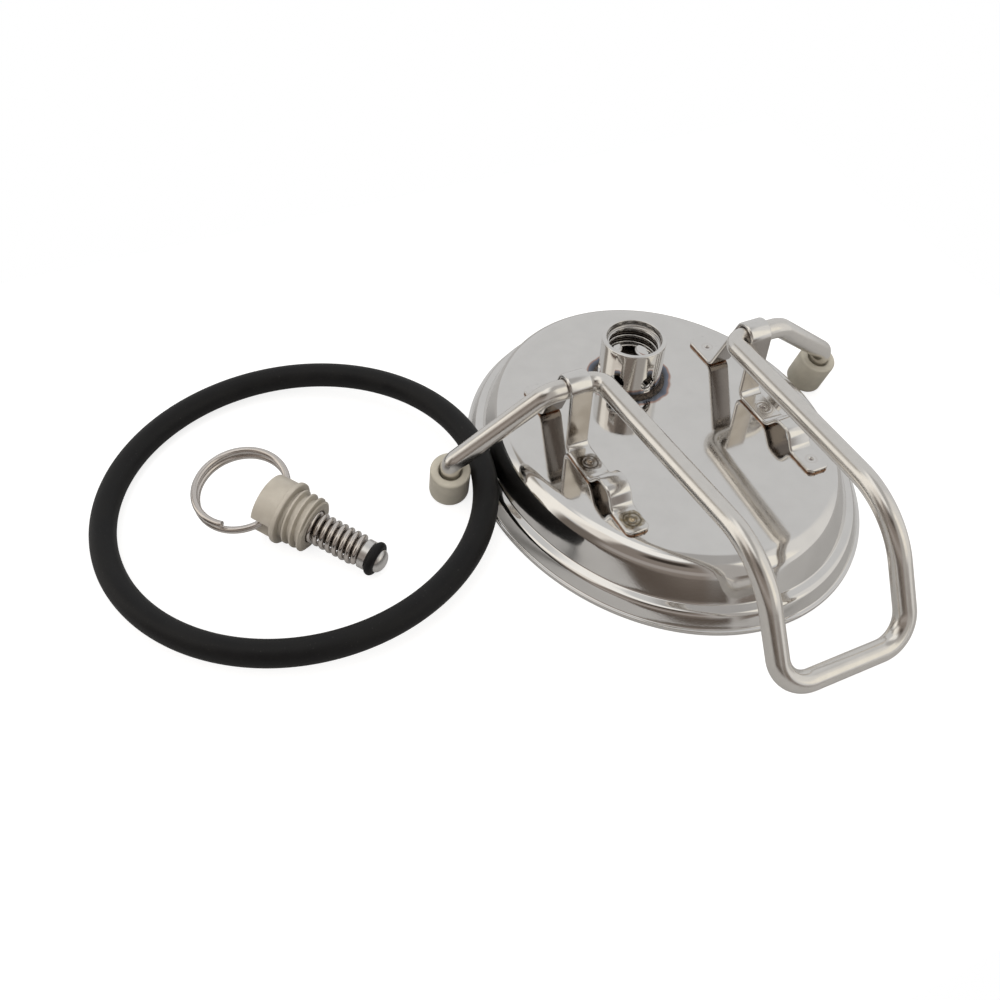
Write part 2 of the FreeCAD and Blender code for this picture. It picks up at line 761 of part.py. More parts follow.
ring_pitch = value("ring_pitch")
ring_turns = value("ring_turns")
ring_radius = value("ring_radius")
ring_coil = coil(ring_radius, value("ring_wire"), ring_pitch, ring_turns)
eye_share = value("ring_end") / 360
ring_level = ring_pitch * (1 - eye_share)
ring_turn = Placement(Vector(0, 0, -ring_level), Rotation(Vector(0, 0, 1), value("ring_end")))
ring_flat = Placement(Vector(0, 0, ring_radius), Rotation(
    Vector(0, 0, -1), Vector(1, 0, 0), Vector(0, -1, 0), "ZXY"))
ring_hang = Rotation(Vector(1, 0, 0), value("ring_droop"))
ring_hang = ring_hang * Rotation(Vector(0, 1, 0), value("ring_sway"))
ring_eye = Placement(Vector(0, 0, value("eye_height")), ring_hang)
pull_ring = place_feature(
    "pull_ring", ring_coil, valve_place * ring_eye * ring_flat * ring_turn)


# Checks and export

doc.recompute()
pieces = [
    lid_shell, relief_port, port_weld, *clips, bail_wire, *feet, lid_o_ring,
    valve_plug, valve_stem, valve_disc, valve_spring, valve_seal, valve_tip, pull_ring,
]
for thing in doc.Objects:
    if "Invalid" in thing.State or "Error" in thing.State:
        raise RuntimeError(f"{thing.Label} failed: {thing.State}")
os.makedirs("parts", exist_ok=True)
for piece in pieces:
    shape = piece.Shape
    if shape.isNull() or not shape.isValid() or len(shape.Solids) != 1:
        raise RuntimeError(f"{piece.Label} is not one sound solid")
    shape.exportStep(f"parts/{piece.Label}.step")
    box = shape.BoundBox
    print(f"{piece.Label}: volume {shape.Volume:.1f}, z {box.ZMin:.2f} to {box.ZMax:.2f}, "
          f"x {box.XMin:.1f} to {box.XMax:.1f}, y {box.YMin:.1f} to {box.YMax:.1f}")
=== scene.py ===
import math

import bmesh
import bpy
from mathutils import Matrix, Vector


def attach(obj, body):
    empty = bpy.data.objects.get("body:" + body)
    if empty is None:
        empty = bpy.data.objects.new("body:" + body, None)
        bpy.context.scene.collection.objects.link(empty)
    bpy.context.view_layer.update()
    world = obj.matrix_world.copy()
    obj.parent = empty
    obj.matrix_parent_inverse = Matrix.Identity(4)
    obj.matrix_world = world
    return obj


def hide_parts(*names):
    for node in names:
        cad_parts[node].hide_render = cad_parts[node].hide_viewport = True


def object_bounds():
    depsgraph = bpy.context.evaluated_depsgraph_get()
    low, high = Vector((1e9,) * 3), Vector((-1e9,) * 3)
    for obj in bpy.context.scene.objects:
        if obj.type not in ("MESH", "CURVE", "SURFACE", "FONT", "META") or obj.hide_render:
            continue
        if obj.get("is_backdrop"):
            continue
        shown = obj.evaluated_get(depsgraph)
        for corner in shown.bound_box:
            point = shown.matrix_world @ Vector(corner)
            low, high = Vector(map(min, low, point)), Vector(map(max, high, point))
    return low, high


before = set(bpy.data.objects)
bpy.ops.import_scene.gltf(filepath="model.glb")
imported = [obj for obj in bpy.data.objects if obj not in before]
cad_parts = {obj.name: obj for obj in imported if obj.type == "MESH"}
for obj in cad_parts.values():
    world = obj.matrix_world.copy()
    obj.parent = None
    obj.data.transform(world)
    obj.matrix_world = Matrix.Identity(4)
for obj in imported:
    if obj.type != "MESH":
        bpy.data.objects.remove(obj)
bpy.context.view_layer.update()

# Sizes are written in millimetres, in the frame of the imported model, and meshes are
# scaled to metres when they are made.
MM = 0.001

PLATE_TOP = 15.8
PORT_Y = 20
PIVOT_Y = 3.6
PIVOT_Z = 34.8
ROD_RADIUS = 2.8
HALF_SHEET = 0.6
SQUEEZE = 52.8 / 64.2
THREAD_PITCH = 2.3
PORT_PLACE = Matrix.Translation((0, PORT_Y, PLATE_TOP))
VALVE_PLACE = Matrix((
    (-0.7909342, -0.0551990, -0.6094063, -104.5),
    (-0.5821596, -0.2388369, 0.7772047, 14.2),
    (-0.1884484, 0.9694896, 0.1567697, 8.8015467),
    (0, 0, 0, 1)))


# Mesh building

def closed_mesh(name, points, faces, place=None):
    """A mesh in metres from points in millimetres, with its faces turned outwards."""
    if place is not None:
        points = [place @ Vector(point) for point in points]
    mesh = bpy.data.meshes.new(name)
    mesh.from_pydata([Vector(point) * MM for point in points], [], faces)
    mesh.validate()
    work = bmesh.new()
    work.from_mesh(mesh)
    bmesh.ops.recalc_face_normals(work, faces=work.faces)
    work.to_mesh(mesh)
    work.free()
    return mesh


def smooth(mesh, sharp):
    mesh.polygons.foreach_set("use_smooth", [True] * len(mesh.polygons))
    mesh.set_sharp_from_angle(angle=math.radians(sharp))


def add_piece(name, shape, body, node, finish, sharp, place=None):
    """A smooth-shaded mesh that stands for one CAD node and rides on its body."""
    mesh = closed_mesh(name, *shape, place)
    smooth(mesh, sharp)
    mesh.materials.append(finish.material)
    thing = bpy.data.objects.new(name, mesh)
    bpy.context.scene.collection.objects.link(thing)
    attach(thing, body)
    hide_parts(node)
    return thing


def cut_with(thing, shapes, sharp):
    """Cut closed shapes, in millimetres, out of a piece."""
    for points, faces in shapes:
        mesh = closed_mesh("cutter", points, faces)
        cutter = bpy.data.objects.new("cutter", mesh)
        bpy.context.scene.collection.objects.link(cutter)
        cut = thing.modifiers.new("cut", "BOOLEAN")
        cut.operation = "DIFFERENCE"
        cut.solver = "EXACT"
        cut.object = cutter
        graph = bpy.context.evaluated_depsgraph_get()
        result = bpy.data.meshes.new_from_object(thing.evaluated_get(graph))
        old = thing.data
        thing.modifiers.clear()
        thing.data = result
        bpy.data.objects.remove(cutter)
        bpy.data.meshes.remove(mesh)
        bpy.data.meshes.remove(old)
    smooth(thing.data, sharp)


def turned(profile, steps, shape=None):
    """Points and faces of a closed (r, z) outline turned about Z.

    An outline point at r = 0 becomes one point on the axis. shape may change the
    radius of an outline point with its height and angle.
    """
    points = []
    rings = []
    for radius, height in profile:
        if radius == 0:
            rings.append([len(points)] * steps)
            points.append((0, 0, height))
            continue
        ring = []
        for step in range(steps):
            angle = 2 * math.pi * step / steps
            r = radius if shape is None else shape(radius, height, angle)
            ring.append(len(points))
            points.append((r * math.cos(angle), r * math.sin(angle), height))
        rings.append(ring)
    faces = []
    for first, second in zip(rings, rings[1:] + rings[:1]):
        if first[0] == first[1] and second[0] == second[1]:
            continue
        for step in range(steps):
            after = (step + 1) % steps
            corners = [first[step], first[after], second[after], second[step]]
            faces.append(list(dict.fromkeys(corners)))
    return points, faces


def corner(radius, height, edge, start, pieces=5):
    """Quarter arc about (radius, height) in the (r, z) plane, from a start angle."""
    swings = [math.radians(start + 90 * piece / pieces) for piece in range(pieces + 1)]
    return [(radius + edge * math.cos(swing), height + edge * math.sin(swing))
            for swing in swings]


def rounded(points, radii, turn=3.0):
    """Straight runs joined by tangent arcs, with a point every few degrees of an arc."""
    points = [Vector(point) for point in points]
    line = [points[0]]
    for before, bend, after, radius in zip(points, points[1:], points[2:], radii):
        way_in = (bend - before).normalized()
        way_out = (after - bend).normalized()
        angle = way_in.angle(way_out)
        start = bend - way_in * (radius * math.tan(angle / 2))
        inward = (way_out - way_in).normalized()
        centre = bend + inward * (radius / math.cos(angle / 2))
        side = (start - centre).normalized()
        pieces = max(2, math.ceil(math.degrees(angle) / turn))
        for piece in range(pieces + 1):
            swing = angle * piece / pieces
            line.append(centre + (side * math.cos(swing) + way_in * math.sin(swing)) * radius)
    line.append(points[-1])
    return line


def resampled(line, spacing):
    """The same line with its points no further apart than spacing."""
    result = [line[0]]
    for first, second in zip(line, line[1:]):
        length = (second - first).length
        if length < 1e-4:
            continue
        pieces = math.ceil(length / spacing)
        result += [first.lerp(second, piece / pieces) for piece in range(1, pieces + 1)]
    return result


def tangents(line):
    last = len(line) - 1
    return [(line[min(index + 1, last)] - line[max(index - 1, 0)]).normalized()
            for index in range(last + 1)]


def joined_rings(rings, points):
    """Faces that join rings of point numbers one after another, and close both ends."""
    sides = len(rings[0])
    faces = []
    for first, second in zip(rings, rings[1:]):
        for side in range(sides):
            after = (side + 1) % sides
            faces.append([first[side], first[after], second[after], second[side]])
    for ring in (rings[0], rings[-1]):
        hub = len(points)
        points.append(sum((Vector(points[index]) for index in ring), Vector()) / sides)
        faces += [[ring[side], ring[(side + 1) % sides], hub] for side in range(sides)]
    return faces


def wire(line, radius, sides, up, edge=0.15):
    """Round wire along a line, with its two ends dressed to a small rounding."""
    ways = tangents(line)
    rise = Vector(up)
    stations = []
    for centre, way in zip(line, ways):
        rise = (rise - way * rise.dot(way)).normalized()
        end_near = min((centre - line[0]).length, (centre - line[-1]).length) < edge
        if not end_near:
            stations.append((centre, way.cross(rise), rise.copy(), radius))
    swings = [math.radians(22.5 * step) for step in range(1, 5)]
    for swing in swings:
        inside = edge * (1 - math.sin(swing))
        thin = radius - edge * (1 - math.cos(swing))
        stations.insert(0, (line[0] + ways[0] * inside, *stations[0][1:3], thin))
        stations.append((line[-1] - ways[-1] * inside, *stations[-1][1:3], thin))
    points = []
    rings = []
    turns = [2 * math.pi * side / sides for side in range(sides)]
    for centre, across, lift, reach in stations:
        rings.append(range(len(points), len(points) + sides))
        points += [centre + (across * math.cos(turn) + lift * math.sin(turn)) * reach
                   for turn in turns]
    return points, joined_rings(rings, points)


def round_hole(radius, half_length, flare, face):
    """A turned cutter along Z that widens where it leaves a face on either side."""
    return turned([
        (0, -half_length), (radius + flare * 2, -half_length), (radius, -face),
        (radius, face), (radius + flare * 2, half_length), (0, half_length)], 48)


def box_shape(low, high):
    points = [(x, y, z) for x in (low[0], high[0]) for y in (low[1], high[1])
              for z in (low[2], high[2])]
    faces = [(0, 1, 3, 2), (4, 6, 7, 5), (0, 4, 5, 1), (2, 3, 7, 6), (0, 2, 6, 4), (1, 5, 7, 3)]
    return points, faces


def moved(shape, place):
    points, faces = shape
    return [place @ Vector(point) for point in points], faces


def fade(value):
    value = min(1.0, max(0.0, value))
    return value * value * (3 - 2 * value)


# Node recipes, shared by the materials and the room

class Recipes:
    """The nodes of one tree."""

    def __init__(self, tree):
        self.tree = tree

    def join(self, source, socket):
        self.tree.links.new(source, socket)

    def node(self, kind, inputs, **settings):
        """A node whose inputs are numbers, tuples or other nodes' sockets."""
        node = self.tree.nodes.new(kind)
        for key, value in settings.items():
            setattr(node, key, value)
        for key, value in inputs.items():
            if isinstance(value, bpy.types.NodeSocket):
                self.join(value, node.inputs[key])
            else:
                node.inputs[key].default_value = value
        return node

    def spread(self, source, low, high, to_low, to_high, kind="LINEAR"):
        return self.node("ShaderNodeMapRange", {
            "Value": source, "From Min": low, "From Max": high,
            "To Min": to_low, "To Max": to_high}, interpolation_type=kind).outputs["Result"]

    def band(self, source, low, high, soft):
        """1 between low and high and 0 outside, with soft borders."""
        rise = self.spread(source, low - soft, low + soft, 0, 1, "SMOOTHSTEP")
        fall = self.spread(source, high - soft, high + soft, 1, 0, "SMOOTHSTEP")
        return self.math("MULTIPLY", rise, fall)

    def math(self, kind, *values):
        return self.node("ShaderNodeMath", dict(enumerate(values)), operation=kind).outputs[0]

    def mix(self, share, first, second):
        items = [(*item, 1) if isinstance(item, tuple) else item for item in (first, second)]
        node = self.node("ShaderNodeMix", {0: share, 6: items[0], 7: items[1]}, data_type="RGBA")
        return node.outputs[2]


class Finish(Recipes):
    """One material. Colour, roughness and bump lie in the frame of the object."""

    def __init__(self, name, metallic=0.0):
        self.material = bpy.data.materials.new(name)
        self.material.use_nodes = True
        super().__init__(self.material.node_tree)
        self.surface = self.tree.nodes["Principled BSDF"]
        self.surface.inputs["Metallic"].default_value = metallic
        self.where = self.node("ShaderNodeTexCoord", {}).outputs["Object"]
        self.look = None
        self.normal = None

    def noise(self, size, detail=3, stretch=(1, 1, 1)):
        """Noise whose blobs are about size millimetres wide."""
        where = self.node("ShaderNodeMapping", {"Vector": self.where, "Scale": stretch})
        return self.node("ShaderNodeTexNoise", {
            "Vector": where.outputs["Vector"], "Scale": 1 / (size * MM),
            "Detail": detail}).outputs["Fac"]

    def distance_to(self, spot, stretch=(1, 1, 1)):
        """Distance in millimetres from a spot, in a space stretched along the axes."""
        shift = self.node("ShaderNodeVectorMath", {
            0: self.where, 1: Vector(spot) * MM}, operation="SUBTRACT")
        scale = self.node("ShaderNodeVectorMath", {
            0: shift.outputs[0], 1: Vector(stretch) / MM}, operation="MULTIPLY")
        return self.node("ShaderNodeVectorMath", {
            0: scale.outputs[0]}, operation="LENGTH").outputs["Value"]

    def square_distance(self, spot):
        """Distance in millimetres across X and Y from a spot, in a rounded-square sense."""
        shift = self.node("ShaderNodeVectorMath", {
            0: self.where, 1: Vector(spot) * MM}, operation="SUBTRACT")
        parts = self.node("ShaderNodeSeparateXYZ", {0: shift.outputs[0]})
        squareness = 3.5
        powers = [self.math("POWER", self.math("ABSOLUTE", self.math(
            "DIVIDE", parts.outputs[axis], MM)), squareness) for axis in ("X", "Y")]
        return self.math("POWER", self.math("ADD", *powers), 1 / squareness)

    def bump(self, height, depth):
        """Raise the surface by up to depth millimetres where height is 1."""
        inputs = {"Strength": 1.0, "Distance": depth * MM, "Height": height}
        if self.normal is not None:
            inputs["Normal"] = self.normal
        self.normal = self.node("ShaderNodeBump", inputs).outputs["Normal"]
        self.join(self.normal, self.surface.inputs["Normal"])

    def where_z(self):
        """Height in metres."""
        return self.node("ShaderNodeSeparateXYZ", {0: self.where}).outputs["Z"]

    def facing(self):
        """The X, Y and Z parts of the way that the surface faces."""
        way = self.node("ShaderNodeTexCoord", {}).outputs["Normal"]
        return self.node("ShaderNodeSeparateXYZ", {0: way}).outputs

    def cloudy(self, share, first, second):
        """Start the colour as a mix of two."""
        self.look = self.mix(share, first, second)
        self.join(self.look, self.surface.inputs["Base Color"])

    def tint(self, share, colour):
        """Lay a colour over the present one, where share is 1."""
        self.cloudy(share, self.look, colour)

    def gloss(self, source):
        self.join(source, self.surface.inputs["Roughness"])


def steel(name, colour=(0.80, 0.785, 0.765), rough=(0.10, 0.20), cloud=6.0,
          scratch=(1, 0.06, 1), wave=0.02):
    """Bare steel: uneven polish, fine scratches and a faintly wavy face."""
    finish = Finish(name, metallic=1.0)
    patches = finish.noise(cloud, detail=4)
    scratches = finish.noise(0.35, detail=2, stretch=scratch)
    both = finish.math("ADD", patches, finish.math("MULTIPLY", scratches, 0.6))
    finish.gloss(finish.spread(both, 0.4, 1.2, *rough))
    dull = tuple(part * 0.96 for part in colour)
    finish.cloudy(finish.spread(patches, 0.35, 0.7, 0, 1), colour, dull)
    if wave:
        finish.bump(finish.noise(14, detail=1), wave)
    finish.bump(scratches, 0.002)
    return finish


def plastic_finish(name, cloud, light, dark, grain, rough, skin, depth):
    """Moulded plastic: cloudy colour, uneven gloss and a fine skin."""
    finish = Finish(name)
    finish.cloudy(finish.spread(finish.noise(cloud, detail=4), 0.3, 0.7, 0, 1), light, dark)
    finish.gloss(finish.spread(finish.noise(grain), 0.3, 0.7, *rough))
    finish.bump(finish.noise(skin, detail=2), depth)
    return finish


# Lid

def sheet_loop(line, half, edge):
    """Closed (r, z) outline of bent sheet whose middle line starts on the axis."""
    ways = tangents(line)
    stations = [(spot, way, Vector((-way.y, way.x, 0))) for spot, way in zip(line, ways)]
    outer = [spot + side * half for spot, way, side in stations[:-1]]
    inner = [spot - side * half for spot, way, side in stations[:-1]]
    end, way, side = stations[-1]
    rim = []
    for sign, first in ((1, 90), (-1, 0)):
        centre = end - way * edge + side * (half - edge) * sign
        for step in range(6):
            swing = math.radians(first - 18 * step)
            rim.append(centre + (way * math.cos(swing) + side * math.sin(swing)) * edge)
    return [(max(spot.x, 0), spot.y) for spot in outer + rim + inner[::-1]]


def lid_shape():
    plate = PLATE_TOP - HALF_SHEET
    line = rounded(
        [(0, plate, 0), (53.4, plate, 0), (58.4, 5.1, 0), (60.9, 4.6, 0),
         (62.9, HALF_SHEET, 0), (64.2, HALF_SHEET, 0)], [5.6, 1.2, 1.3, 1.0], turn=5)
    shoulder = resampled([Vector((44, plate, 0)), *line[1:]], 0.9)
    fine = [line[0], Vector((30, plate, 0)), *shoulder]
    points, faces = turned(sheet_loop(fine, HALF_SHEET, 0.25), 288)
    return [(x * SQUEEZE, y, z) for x, y, z in points], faces


lid_steel = steel("lid_steel", rough=(0.05, 0.09))
heat_wobble = lid_steel.math("MULTIPLY", lid_steel.noise(6, detail=2), 2.4)
heat_ring = lid_steel.math("ADD", lid_steel.distance_to((0, PORT_Y, PLATE_TOP)), heat_wobble)
HEAT_COLOURS = [  # outer radius, softness and colour: brown, blue, nearly black
    (13.5, 0.35, (0.46, 0.30, 0.25)),
    (13.0, 0.3, (0.19, 0.21, 0.26)),
    (12.2, 0.8, (0.09, 0.095, 0.11))]
for reach, soft, colour in HEAT_COLOURS:
    lid_steel.tint(lid_steel.band(heat_ring, 9, reach, soft), colour)
lid_pressing = add_piece(
    "lid_pressing", lid_shape(), "lid", "lid_shell", lid_steel, sharp=30)
seat_place = Matrix.Translation((0, PORT_Y, PLATE_TOP - HALF_SHEET))
cut_with(lid_pressing, [moved(round_hole(4.2, 3, 0.1, 2.5), seat_place)], sharp=30)


# Relief port with its thread, its vents and the weld at its foot

def groove_depth(height, angle, pitch, crest, slope):
    """0 on the crest of a thread and 1 in its groove, as shares of the pitch."""
    phase = (height / pitch - angle / (2 * math.pi)) % 1.0
    away = abs(phase - 0.5)
    return 1 - fade((away - (0.5 - crest - slope)) / slope)


PORT_CREST = 7.0


def port_radius_at(radius, height, angle):
    if radius != PORT_CREST:
        return radius
    share = fade((height - 6.0) / 0.8) * fade((12.6 - height) / 0.8)
    return radius + 0.8 * share * groove_depth(height, angle, THREAD_PITCH, 0.13, 0.17)


def port_shape():
    thread = [(PORT_CREST, 12.5 - 0.07 * step) for step in range(94)]
    profile = [
        (7.7, 0), (9.1, 0), (9.1, 0.6), (9.1, 13.6),
        *corner(8.8, 14.3, 0.3, 0), (8.4, 14.6), *corner(8.05, 14.35, 0.25, 90),
        (7.8, 13.9), (7.8, 12.9), (7.45, 12.55), *thread, (PORT_CREST, 5.95), (7.7, 5.9),
        (7.7, 5.5)]
    return turned(profile, 192, port_radius_at)


port_steel = steel("port_steel", rough=(0.08, 0.16), scratch=(0.15, 0.15, 1), wave=0.01)
port_axis = port_steel.distance_to((0, PORT_Y, 0), (1, 1, 0))
port_steel.gloss(port_steel.spread(port_axis, 7.9, 8.3, 0.24, 0.09))
# Darker towards the foot of the port, just above the weld bead, with an uneven upper edge.
port_foot_darkening = port_steel.math("ADD", port_steel.where_z(), port_steel.math(
    "MULTIPLY", port_steel.noise(1.5), 1.6 * MM))
port_steel.tint(port_steel.spread(port_foot_darkening, 17.2 * MM, 18.4 * MM, 0.8, 0), (0.16, 0.13, 0.105))
# Painted shade deep in the port's bore and its thread grooves, fading out just below the mouth.
below_mouth = port_steel.spread(port_steel.where_z(), 28.2 * MM, 28.7 * MM, 0.92, 0)
port_groove_shade = port_steel.math(
    "MULTIPLY", port_steel.band(port_axis, 7.32, 7.95, 0.16), below_mouth)
port_steel.tint(port_groove_shade, (0.085, 0.066, 0.052))
relief_port = add_piece(
    "relief_port_body", port_shape(), "lid", "relief_port", port_steel,
    sharp=50, place=PORT_PLACE)

VENT_HEADINGS = (34, 94, 154)
VENT_HEIGHT = 4.6
vents = []
for heading in VENT_HEADINGS:
    place = Matrix.Rotation(math.radians(heading), 4, "Z")
    place = place @ Matrix.Translation((0, 0, VENT_HEIGHT))
    place = place @ Matrix.Rotation(math.radians(90), 4, "Y")
    vents.append(moved(round_hole(2.2, 9.5, 0.35, 8.72), PORT_PLACE @ place))
cut_with(relief_port, vents, sharp=50)


def weld_radius(radius, height, angle):
    ripple = 0.5 + 0.5 * math.sin(angle * 64 + 2 * math.sin(angle * 5))
    lump = math.sin(angle * 3 + 0.7) + 0.6 * math.sin(angle * 7 + 2.1)
    share = (radius - 9.05) / 1.35
    return radius + share * (0.06 * lump - 0.05 * ripple)


def weld_shape():
    leg = 1.2
    hollow = 0.22
    crown = []
    for step in range(1, 11):
        sink = hollow * math.sin(math.pi * step / 10)
        crown.append((10.3 - leg * step / 10 - sink, leg * step / 10 - sink))
    profile = [(9.05, 0), (10.35, 0), (10.4, 0.05), *crown, (9.05, 1.25)]
    return turned(profile, 512, weld_radius)


weld = Finish("weld_bead", metallic=1.0)
weld_cloud = weld.noise(0.8, detail=4)
weld.cloudy(weld.spread(weld_cloud, 0.35, 0.65, 0, 1), (0.045, 0.04, 0.036), (0.15, 0.12, 0.10))
weld.gloss(weld.spread(weld_cloud, 0.3, 0.7, 0.26, 0.5))
weld.bump(weld.noise(0.35), 0.04)
add_piece("port_weld_bead", weld_shape(), "lid", "port_weld", weld,
          sharp=50, place=PORT_PLACE)


# Clips: bent strap in a plane across X

CLIP_X = 27.8
CLIP_SHEET = 1.2
TAB = PLATE_TOP + CLIP_SHEET / 2
BACK_LEG = 15.3
HUMP = 4.9
SPOTS = (21.8, -7.4, -30.0)


def clip_line():
    """Middle line of a strap: back tab, back leg, loop, front leg, tab, hump and end tab."""
    loop = ROD_RADIUS + 0.08 + CLIP_SHEET / 2
    away_y = PIVOT_Y - BACK_LEG
    away_z = PIVOT_Z - TAB
    lean = math.atan2(away_z, away_y) - math.asin(loop / math.hypot(away_y, away_z))
    loop_top = PIVOT_Z + loop
    back_top = BACK_LEG + (loop_top - TAB) / math.tan(lean)
    route = [
        (26.8, TAB), (BACK_LEG, TAB), (back_top, loop_top), (PIVOT_Y - loop, loop_top),
        (PIVOT_Y - loop, TAB), (-13.2, TAB), (-17.1, TAB + HUMP), (-22.4, TAB + HUMP),
        (-24.9, TAB), (-34.2, TAB)]
    bends = [2.3, loop, loop, 2.5, 3.4, 3.6, 2.9, 2.6]
    return rounded([(0, y, z) for y, z in route], bends)


def strap_shape(centre_x):
    """Strap of constant width with rounded edges and rounded tab corners."""
    half_width = 3.3
    half = CLIP_SHEET / 2
    edge = 0.5
    tab_corner = 1.6
    line = resampled(clip_line(), 0.4)
    ends = [0, 0.03, 0.1, 0.2, 0.35, 0.55, 0.8, 1.1, 1.4, tab_corner]
    first_way = (line[1] - line[0]).normalized()
    last_way = (line[-1] - line[-2]).normalized()
    inner = [spot for spot in line
             if min((spot - line[0]).length, (spot - line[-1]).length) > tab_corner + 0.05]
    line = [line[0] + first_way * reach for reach in ends] + inner \
        + [line[-1] - last_way * reach for reach in ends[::-1]]
    start, finish = line[0], line[-1]
    points = []
    rings = []
    for spot, way in zip(line, tangents(line)):
        side = Vector((0, way.z, -way.y))
        inside = min((spot - start).length, (spot - finish).length)
        width = half_width
        if inside < tab_corner:
            width -= tab_corner - math.sqrt(tab_corner ** 2 - (tab_corner - inside) ** 2)
        thin = half
        if inside < edge:
            thin -= edge - math.sqrt(edge ** 2 - (edge - inside) ** 2)
        ring = []
        for sx, sz, first in ((1, 1, 0), (-1, 1, 90), (-1, -1, 180), (1, -1, 270)):
            for step in range(7):
                swing = math.radians(first + 15 * step)
                a = sx * (width - edge) + edge * math.cos(swing)
                b = sz * (thin - edge) + edge * math.sin(swing)
                ring.append(len(points))
                points.append(spot + Vector((a + centre_x, 0, 0)) + side * b)
        rings.append(ring)
    return points, joined_rings(rings, points)


def spot_cup(x, y):
    """Cutter for the small dimple in the middle of a spot weld."""
    cup = turned([(0, -0.32), (0.25, -0.31), (0.45, -0.27), (0.62, -0.19), (0.74, -0.08),
                  (0.8, 0.05), (0.9, 0.6), (0, 0.6)], 40)
    return moved(cup, Matrix.Translation((x, y, PLATE_TOP + CLIP_SHEET)))


def shades(colour, share):
    return tuple(part * share for part in colour)


def spot_marks(finish, spot, heat, wobble):
    """Rings round one spot weld, on a patch of heat where a heat colour is given."""
    ring = finish.math("ADD", finish.distance_to(spot, (1, 1, 0.2)), wobble)
    if heat:
        square = finish.math("ADD", finish.square_distance(spot), wobble)
        top = finish.spread(finish.where_z(), 17.1 * MM, 17.6 * MM, 1, 0)
        patch = finish.math("MULTIPLY", finish.band(square, -1, 3.4, 0.22), top)
        uneven = finish.spread(finish.noise(1.3, detail=4), 0.42, 0.6, 0.6, 1)
        finish.tint(finish.math("MULTIPLY", patch, uneven), heat)
        for low, high, share in ((2.5, 2.9, 0.5), (1.5, 1.8, 0.6)):
            line = finish.band(ring, low, high, 0.15)
            finish.tint(finish.math("MULTIPLY", line, top), shades(heat, share))
        finish.tint(finish.band(ring, -1, 1.1, 0.15), shades(heat, 2))
    else:
        finish.tint(finish.band(ring, 1.9, 2.1, 0.3), (0.70, 0.66, 0.63))
        finish.tint(finish.band(ring, -1, 1.05, 0.2), (0.32, 0.28, 0.26))
    waves = finish.math("SINE", finish.math("MULTIPLY", ring, 5.5))
    finish.bump(finish.math("MULTIPLY", waves, finish.band(ring, 0.9, 3.1, 0.4)), 0.009)


def clip_finish(name, side, heated):
    """Polished strap, marked at its welds, with painted shade below, a painted dark reflection
    in front, and rust at its foot.
    """
    finish = steel(name, scratch=(1, 0.1, 1), cloud=3.0)
    wobble = finish.math("MULTIPLY", finish.noise(2.2, detail=2), 0.9)
    for y, heat in zip(SPOTS, heated):
        spot_marks(finish, (side * CLIP_X, y, PLATE_TOP + CLIP_SHEET), heat, wobble)
    facing = finish.facing()
    # Painted shade on the faces that look down.
    finish.tint(finish.spread(facing["Z"], -0.42, -0.2, 0.85, 0), (0.17, 0.14, 0.12))
    # Painted dark reflection, patchy, on the upright faces turned to the front.
    painted_reflection_share = finish.spread(finish.noise(6.0, detail=1), 0.3, 0.7, 0.62, 0.82)
    front = finish.spread(facing["Y"], -0.99, -0.9, 1, 0)
    finish.tint(finish.math("MULTIPLY", front, painted_reflection_share), (0.34, 0.305, 0.27))
    rust = finish.math("ADD", finish.where_z(), finish.math(
        "MULTIPLY", finish.noise(1.4), 0.8 * MM))
    finish.tint(finish.spread(rust, 16.4 * MM, 16.9 * MM, 0.9, 0), (0.30, 0.15, 0.075))
    return finish


HEAT_DARK = (0.20, 0.165, 0.13)
HEAT_OLIVE = (0.33, 0.275, 0.19)
for label, side, heated in (("left", -1, (None, HEAT_DARK, HEAT_OLIVE)),
                            ("right", 1, (None, None, None))):
    strap = add_piece(
        f"clip_{label}_strap", strap_shape(side * CLIP_X), "lid", f"clip_{label}",
        clip_finish(f"clip_{label}_steel", side, heated), sharp=30)
    cut_with(strap, [spot_cup(side * CLIP_X, y) for y in SPOTS], sharp=30)


# Bail and its feet

FOOT_LEAN_IN = math.radians(4)
FOOT_LEAN_BACK = math.radians(15.5)
FOOT_LENGTH = 10.9


def foot_way(side):
    """Unit vector down a foot's axis."""
    return Vector((-side * math.tan(FOOT_LEAN_IN), math.tan(FOOT_LEAN_BACK), -1)).normalized()


def foot_top(side):
    return Vector((side * 60.8, 9.3, 11.95))


def bail_side(side):
    """Corners of the rod on one side, from its end in the foot to the grip."""
    top = foot_top(side)
    down = foot_way(side)
    corners = [(36.4, PIVOT_Y, PIVOT_Z), (20.5, PIVOT_Y, PIVOT_Z), (18.4, -67.2, 37.8),
               (18.3, -84.8, 9.1)]
    return [top + down * 6.96, top - down * 3.2,
            *(Vector((side * x, y, z)) for x, y, z in corners)]


bends = [4.6, 7.0, 4.2, 22.5, 8.4]
bail_line = rounded(bail_side(-1) + bail_side(1)[::-1], bends + bends[::-1], turn=2.5)
rod_steel = steel("rod_steel", colour=(0.80, 0.775, 0.74), rough=(0.16, 0.26), cloud=3.0,
                  scratch=(0.5, 0.5, 0.5), wave=0.0)
bail_shape = wire(resampled(bail_line, 4), ROD_RADIUS, 48, (0, 1, 0), 0.4)
add_piece("bail_rod", bail_shape, "bail", "bail_wire", rod_steel, sharp=40)


def foot_shape():
    return turned([
        (0, 0), (4.5, 0), *corner(4.6, 0.9, 0.9, -90), (5.5, 5), *corner(4.75, 10.15, 0.75, 0),
        (4.0, FOOT_LENGTH), (3.55, 10.88), (3.3, 10.7), (3.2, 10.4), (3.05, 9.9), (2.86, 9.4),
        (2.84, 3.9), (0, 3.9)], 96)


